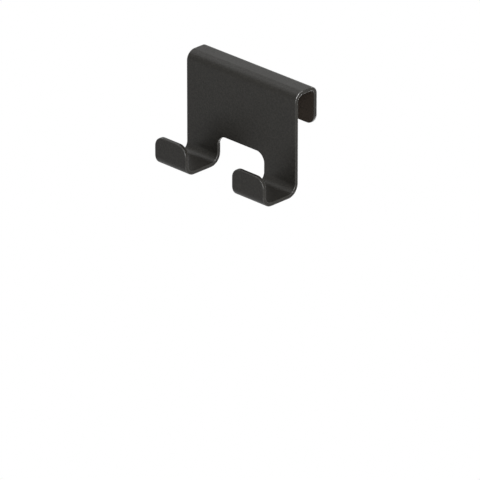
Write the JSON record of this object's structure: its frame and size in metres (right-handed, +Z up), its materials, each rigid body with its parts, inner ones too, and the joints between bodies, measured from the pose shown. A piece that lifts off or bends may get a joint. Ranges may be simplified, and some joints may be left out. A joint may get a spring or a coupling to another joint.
{
  "type": "shower screen towel hook",
  "caption": "Towel hook for a glass shower screen, folded from coated steel sheet: a channel hangs it over the glass edge, a flat plate drops in front, and forward hooks end in low lips.",
  "frame": {"origin": "on the seat, the underside of the top fold that rests on the glass edge, in the middle of the glass gap and of the width", "axes": "+X along the glass edge, to the right of someone who faces the hooks; +Y into the screen, so the hooks point along -Y; +Z up"},
  "size_m": [0.06, 0.0298, 0.0437],
  "materials": {
    "coated_steel": "matte"
  },
  "bodies": {
    "root": {"hook_plate": "coated_steel"}
  },
  "joints": []
}
